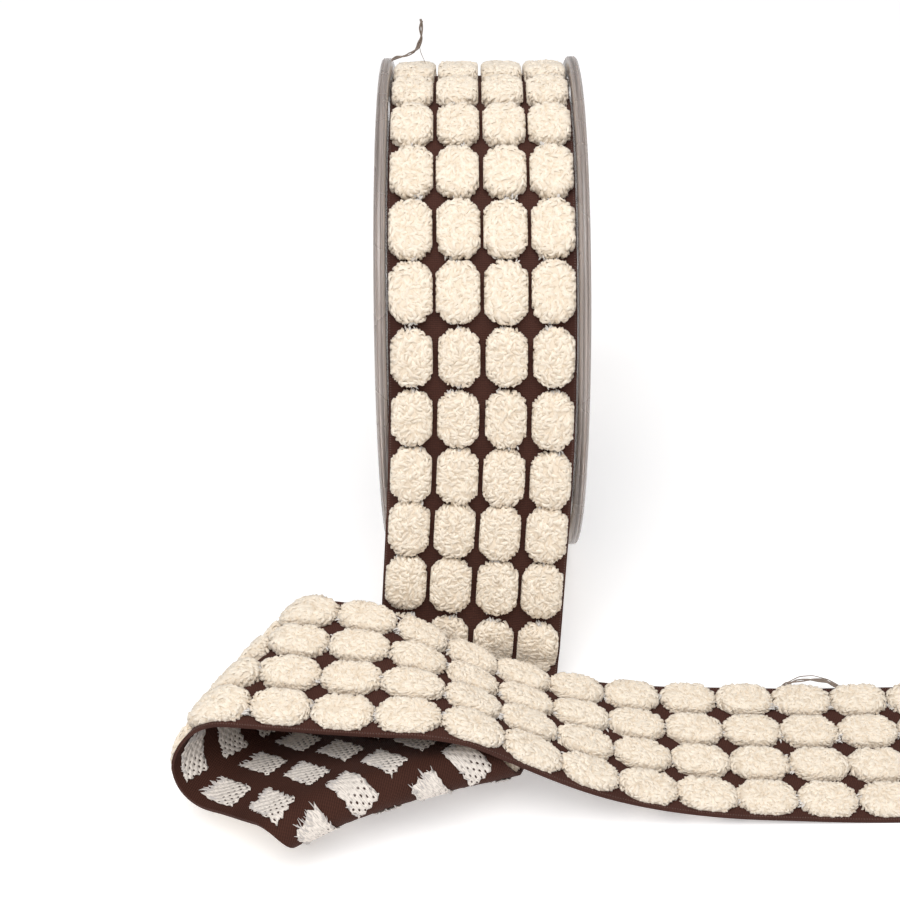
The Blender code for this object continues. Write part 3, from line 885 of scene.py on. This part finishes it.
class RIBBON_OT_materials(bpy.types.Operator):
    """Make the finishes of the ribbon, the spool and the table"""
    bl_idname = "ribbon.materials"
    bl_label = "Materials"

    def execute(self, context):
        ribbon = context.scene.ribbon
        chenille_pile(ribbon)
        woven_tape("tape_face", ribbon.tape, ribbon.ribs * 0.9, 0, 0.30, 0.16)
        woven_tape("tape_underside", ribbon.underside, ribbon.ribs, 24, 0.5, 0.0)
        ground_weave(ribbon)
        spun_thread("frayed_floss", ribbon.floss, 3000.0)
        spun_thread("frayed_cotton", ribbon.strand, 3000.0)
        spun_thread("twisted_thread", ribbon.thread, 2200.0)
        spool = context.scene.spool
        clear_polystyrene("rim_polystyrene", spool.tint, 0.4, 0.5, spool.roughness)
        clear_polystyrene("disc_polystyrene", spool.wall, 0.95, 0.92, spool.roughness / 4)
        lit_table(context.scene.stage)
        return {"FINISHED"}


class RIBBON_OT_tape(bpy.types.Operator):
    """Weave the tape: wound on the hub, hanging, folded and laid on the table"""
    bl_idname = "ribbon.tape"
    bl_label = "Tape"

    def execute(self, context):
        along = np.concatenate([np.arange(*steps) for steps in TAPE_STEPS]
                               + [np.linspace(SETTLE_START, row_line(TAIL_ROWS), SETTLED_PLACES)])
        across = np.linspace(-HALF_WIDTH, HALF_WIDTH, TAPE_ACROSS)
        select_only()
        bpy.ops.mesh.primitive_grid_add(x_subdivisions=len(along) - 1, y_subdivisions=len(across) - 1,
                                        size=1.0, location=(0, 0, 0))
        tape = context.object
        tape.name = "woven_tape"
        mesh = tape.data
        flat = np.zeros(len(mesh.vertices) * 3)
        mesh.vertices.foreach_get("co", flat)
        flat = flat.reshape(-1, 3) + 0.5
        u = along[np.rint(flat[:, 0] * (len(along) - 1)).astype(int)]
        v = across[np.rint(flat[:, 1] * (len(across) - 1)).astype(int)]
        mesh.vertices.foreach_set("co", place(u, v, 0.0).ravel())
        map_cloth(mesh, mesh.uv_layers[0], np.stack((u, v), axis=1))
        for material in ("tape_face", "tape_underside"):
            mesh.materials.append(bpy.data.materials[material])
        thicken(tape, TAPE_THICKNESS, -1, other_side=1)
        mesh.shade_smooth()
        mesh.set_sharp_from_angle(angle=radians(60))
        attach(tape)
        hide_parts("ribbon_roll", "ribbon_tail")
        tape["length"] = float(along[-1] - along[0])
        return {"FINISHED"}


class RIBBON_OT_tufts(bpy.types.Operator):
    """Stand the chenille tufts on the tape, with the frayed ends between their rows"""
    bl_idname = "ribbon.tufts"
    bl_label = "Tufts"

    def execute(self, context):
        count = context.scene.ribbon.locks
        room = PileRoom()
        every, edges = range(COLUMNS), (0, COLUMNS - 1)
        # Name, rows, columns, locks on each tuft, and how far the tufts and their ends draw in
        stretches = (
            ("tufts_roll_front", range(-HALF_TURN, 0), every, count, 0.0),
            ("tufts_roll_back", range(-2 * HALF_TURN, -HALF_TURN), every, count * 5 // 8, 0.0),
            ("tufts_hanging_and_fold", range(FOLD_ROWS), every, count, 0.03),
            ("tufts_laid", range(FOLD_ROWS, TAIL_ROWS), every, count, 0.07),
            ("tufts_inner_turns", range(FIRST_ROW, -2 * HALF_TURN), edges, 8, 0.0),
        )
        for seed, (name, rows, columns, locks_each, narrow) in enumerate(stretches):
            attach(tufts(name, rows, columns, locks_each, room, seed, narrow))
        attach(floss("row_end_floss", range(-2 * HALF_TURN, TAIL_ROWS), every, room, FLOSS_SEED))
        return {"FINISHED"}


# One patch of ground weave, in millimetres about its tuft's middle: its cells, where it starts, its
# size, the teeth of its cut end and how far it leans
PATCH_CELLS = (12, 7)
PATCH_START = -4.7
PATCH_LENGTH = 9.2
PATCH_WIDTH = 5.9
TOOTH = 0.55
LEANS = 0.10


class RIBBON_OT_underside(bpy.types.Operator):
    """Lay the ground weave's patches and their frayed threads on the tape's underside"""
    bl_idname = "ribbon.underside"
    bl_label = "Underside patches"

    def execute(self, context):
        chance = np.random.default_rng(context.scene.ribbon.seed + UNDERSIDE_SEED)
        centres = tuft_centres(range(TAIL_ROWS), range(COLUMNS))
        far, side = PATCH_CELLS
        i, j = np.meshgrid(np.arange(far + 1), np.arange(side + 1), indexing="ij")
        points, cloth, strands = [], [], []
        for centre in centres:
            x = PATCH_START + PATCH_LENGTH * i / far
            y = -PATCH_WIDTH / 2 + PATCH_WIDTH * j / side
            # The end towards the roll is cut in small teeth; the other three sides are frayed
            x = x + np.where(i == 0, TOOTH * (j % 2), 0)
            x = x + np.where(i == far, chance.uniform(-1.2, 0.4, x.shape), 0)
            y = y + np.where(j == 0, chance.uniform(-0.3, 0.4, y.shape), 0)
            y = y + np.where(j == side, chance.uniform(-0.4, 0.3, y.shape), 0) + LEANS * x
            u, v = centre[0] + x * MM, centre[1] + y * MM
            points.append(place(u, v, -TAPE_THICKNESS - PATCH_LIFT - WEAVE_RELIEF * ((i + j) % 2)))
            cloth.append(np.stack((u.ravel(), v.ravel()), axis=1))
            strands.append(self.frayed(FRAYED_EACH, chance))
        # Turned about, so that the patches face away from the tape
        faces = grid_faces(np.arange(i.size).reshape(i.shape))[:, (0, 3, 2, 1)]
        faces = repeat_faces(faces, len(centres), i.size)
        patches = mesh_piece("underside_patches", np.vstack(points), faces.tolist(), "ground_weave",
                             cloth=np.vstack(cloth), shade=np.tile(i.ravel() / far, len(centres)))
        thicken(patches, PATCH_THICKNESS, 1)
        attach(patches)

        flat = np.array(strands).reshape(len(centres), -1, 3) * MM
        laid = place(flat[..., 0] + centres[:, 0, None], flat[..., 1] + centres[:, 1, None],
                     -TAPE_THICKNESS - PATCH_THICKNESS - np.maximum(flat[..., 2], 0))
        faces = lock_faces(len(centres) * FRAYED_EACH)[:, ::-1].tolist()
        attach(mesh_piece("underside_threads", laid, faces, "frayed_cotton"))
        return {"FINISHED"}

    def frayed(self, count, chance):
        """Threads that spread from a patch's far end and long sides, in millimetres."""
        end = chance.uniform(0, 1, count) < 0.6
        foot_x = np.where(end, chance.uniform(3.0, 4.0, count), chance.uniform(-3.6, 4.0, count))
        side = np.where(chance.uniform(0, 1, count) < 0.5, -1.0, 1.0)
        foot_y = np.where(end, chance.uniform(-2.6, 2.6, count), side * 2.5) + LEANS * foot_x
        turn = np.where(end, chance.normal(0, 0.26, count), side * chance.uniform(0.2, 0.9, count))
        feet = np.stack((foot_x, foot_y, np.full(count, 0.08)), axis=1)
        ahead = np.stack((np.cos(turn), np.sin(turn), np.zeros(count)), axis=1)
        length = np.where(end, chance.uniform(1.2, 3.1, count), chance.uniform(0.8, 1.7, count))
        points, _ = locks(feet, ahead, length, chance.uniform(0.14, 0.30, count), chance, level_ground,
                          -0.12, 0.07)
        # The further a thread reaches, the further it stands off the tape
        points[..., 2] = np.maximum(points[..., 2] + 0.005 * (points[..., 0] - 4) ** 2, 0)
        return points


class RIBBON_OT_threads(bpy.types.Operator):
    """Leave the loose threads on the roll and beside the laid end"""
    bl_idname = "ribbon.threads"
    bl_label = "Loose threads"

    def execute(self, context):
        made = []
        for strand in STRANDS:
            made += [self.ply(context, strand, ply) for ply in range(strand.plies)]
        select_only(*made)
        bpy.ops.object.convert(target="MESH")
        bpy.ops.object.join()
        threads = context.object
        threads.name = "loose_threads"
        threads.data.materials.clear()
        threads.data.materials.append(bpy.data.materials["twisted_thread"])
        attach(threads)
        return {"FINISHED"}

    def ply(self, context, strand, ply):
        """One ply of a twisted thread, as a curve that winds around the thread's middle."""
        route = np.array(strand.points) * MM
        steps = np.linspace(0, len(route) - 1, len(route) * 8)
        middle = np.stack([np.interp(steps, np.arange(len(route)), side) for side in route.T], axis=1)
        for _ in range(3):
            middle[1:-1] = (middle[:-2] + 2 * middle[1:-1] + middle[2:]) / 4
        width = strand.thickness * MM / strand.plies
        turn = steps * TWIST + ply * 2 * pi / strand.plies
        offset = width * 0.5 * (strand.plies - 1)
        points = middle + offset * np.stack((np.cos(turn), np.sin(turn) * 0.7, np.sin(turn) * 0.5), axis=1)
        curve = bpy.data.curves.new("ply", "CURVE")
        curve.dimensions = "3D"
        curve.bevel_depth = width / 2
        curve.bevel_resolution = 2
        curve.use_fill_caps = True
        spline = curve.splines.new("POLY")
        spline.points.add(len(points) - 1)
        for item, point, step in zip(spline.points, points, steps):
            item.co = (*(Vector(point) + AXIS_FOOT), 1.0)
            # A thread is thinner where it starts and swells where its twist has opened
            item.radius = 0.55 + 0.45 * step / steps[-1] + 0.15 * np.sin(step * 1.9)
        piece = bpy.data.objects.new("ply", curve)
        context.scene.collection.objects.link(piece)
        return piece


class RIBBON_OT_spool(bpy.types.Operator):
    """Mould the two flanges with their grooved rims, and give the hub the same clear plastic"""
    bl_idname = "ribbon.spool"
    bl_label = "Spool"

    def execute(self, context):
        clear, hazy = bpy.data.materials["disc_polystyrene"], bpy.data.materials["rim_polystyrene"]
        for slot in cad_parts["hub"].material_slots:
            slot.material = clear
        right = self.flange(context)
        right.name = "moulded_flange_right"
        for material in (clear, hazy):
            right.data.materials.append(material)
        for face in right.data.polygons:
            face.material_index = int((face.center - AXIS_MIDDLE).yz.length > HAZY_FROM)
        bpy.ops.object.duplicate()
        left = context.object
        left.name = "moulded_flange_left"
        bpy.ops.transform.resize(value=(-1, 1, 1), center_override=AXIS_FOOT)
        bpy.ops.object.transform_apply(location=True, rotation=True, scale=True)
        bpy.ops.object.mode_set(mode="EDIT")
        bpy.ops.mesh.select_all(action="SELECT")
        bpy.ops.mesh.normals_make_consistent(inside=False)
        bpy.ops.object.mode_set(mode="OBJECT")
        for piece, node in ((right, "flange_right"), (left, "flange_left")):
            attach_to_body(piece, "root")
            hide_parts(node)
        return {"FINISHED"}

    def flange(self, context):
        """The right flange: a circle of the bore, extruded and widened around its outline."""
        radius, out = FLANGE_OUTLINE[-1]
        select_only()
        bpy.ops.mesh.primitive_circle_add(vertices=144, radius=radius, fill_type="NOTHING",
                                          location=AXIS_MIDDLE + Vector((out, 0, 0)),
                                          rotation=(0, radians(90), 0))
        flange = context.object
        bpy.ops.object.mode_set(mode="EDIT")
        bpy.ops.mesh.select_all(action="SELECT")
        for next_radius, next_out in FLANGE_OUTLINE:
            bpy.ops.mesh.extrude_region_move(TRANSFORM_OT_translate={"value": (next_out - out, 0, 0)})
            wider = next_radius / radius
            bpy.ops.transform.resize(value=(1, wider, wider), center_override=AXIS_MIDDLE)
            radius, out = next_radius, next_out
        bpy.ops.mesh.select_all(action="SELECT")
        bpy.ops.mesh.remove_doubles(threshold=0.00001)
        bpy.ops.mesh.normals_make_consistent(inside=False)
        bpy.ops.object.mode_set(mode="OBJECT")
        bpy.ops.object.transform_apply(location=True, rotation=True, scale=True)
        # The rim is flat where it stands
        for vertex in flange.data.vertices:
            vertex.co.z = max(vertex.co.z, 0)
        flange.data.shade_smooth()
        flange.data.set_sharp_from_angle(angle=radians(50))
        return flange


class RIBBON_OT_declare(bpy.types.Operator):
    """An empty step: it finishes without changing anything"""
    bl_idname = "ribbon.declare"
    bl_label = "Declare the cloth"

    def execute(self, context):
        return {"FINISHED"}


# The table's side, and the place that both lights shine at
TABLE_SIDE = 6.0
LIT_SPOT = (0, -0.02, 0.04)


class RIBBON_OT_stage(bpy.types.Operator):
    """Set the white table, soft light and the camera"""
    bl_idname = "ribbon.stage"
    bl_label = "Stage"

    def execute(self, context):
        stage = context.scene.stage
        select_only()
        bpy.ops.mesh.primitive_plane_add(size=TABLE_SIDE, location=(0, 0, 0))
        table = context.object
        table.name = "table"
        table.data.materials.append(bpy.data.materials["opal_acrylic"])

        context.scene.world = bpy.data.worlds.new("white_room")
        context.scene.world.use_nodes = True
        feed(context.scene.world.node_tree.nodes["Background"],
             {"Color": linear("FFFFFF"), "Strength": stage.sky})
        for name, power, size, spot in (("key", stage.key, 1.0, (-0.10, -0.46, 1.00)),
                                        ("fill", stage.fill, 0.8, (0.55, -0.80, 0.45))):
            bpy.ops.object.light_add(type="AREA", location=spot)
            light = context.object
            light.name = name
            light.data.shape = "DISK"
            light.data.size = size
            light.data.energy = power
            towards = Vector(LIT_SPOT) - Vector(spot)
            light.rotation_euler = towards.to_track_quat("-Z", "Y").to_euler()

        bpy.ops.object.camera_add(location=Vector(stage.camera_place) + AXIS_FOOT,
                                  rotation=stage.camera_turn)
        camera = context.object
        camera.data.sensor_width = 36.0
        camera.data.lens = stage.lens
        camera.data.clip_start = 0.01
        context.scene.camera = camera
        context.scene.view_settings.view_transform = "Standard"
        return {"FINISHED"}


class RIBBON_PT_panel(bpy.types.Panel):
    """Steps of the ribbon, in order"""
    bl_idname = "RIBBON_PT_panel"
    bl_label = "Chenille ribbon"
    bl_space_type = "VIEW_3D"
    bl_region_type = "UI"
    bl_category = "Ribbon"

    def draw(self, context):
        layout = self.layout
        for settings in (context.scene.ribbon, context.scene.spool, context.scene.stage):
            box = layout.box()
            for name in settings.__annotations__:
                box.prop(settings, name)
        for step in STEPS:
            layout.operator(step.bl_idname)


SETTINGS = (("ribbon", RibbonSettings), ("spool", SpoolSettings), ("stage", StageSettings))
STEPS = (RIBBON_OT_materials, RIBBON_OT_tape, RIBBON_OT_tufts, RIBBON_OT_underside,
         RIBBON_OT_threads, RIBBON_OT_spool, RIBBON_OT_declare, RIBBON_OT_stage)


def register():
    """Register the settings, the steps and the panel."""
    for name, settings in SETTINGS:
        bpy.utils.register_class(settings)
        setattr(bpy.types.Scene, name, bpy.props.PointerProperty(type=settings))
    for item in STEPS + (RIBBON_PT_panel,):
        bpy.utils.register_class(item)


def unregister():
    """Take the panel, the steps and the settings away again."""
    for item in reversed(STEPS + (RIBBON_PT_panel,)):
        bpy.utils.unregister_class(item)
    for name, settings in reversed(SETTINGS):
        delattr(bpy.types.Scene, name)
        bpy.utils.unregister_class(settings)


def main():
    """Run every step in order."""
    register()
    for step in STEPS:
        getattr(bpy.ops.ribbon, step.bl_idname.split(".")[1])()


if __name__ == "__main__":
    main()
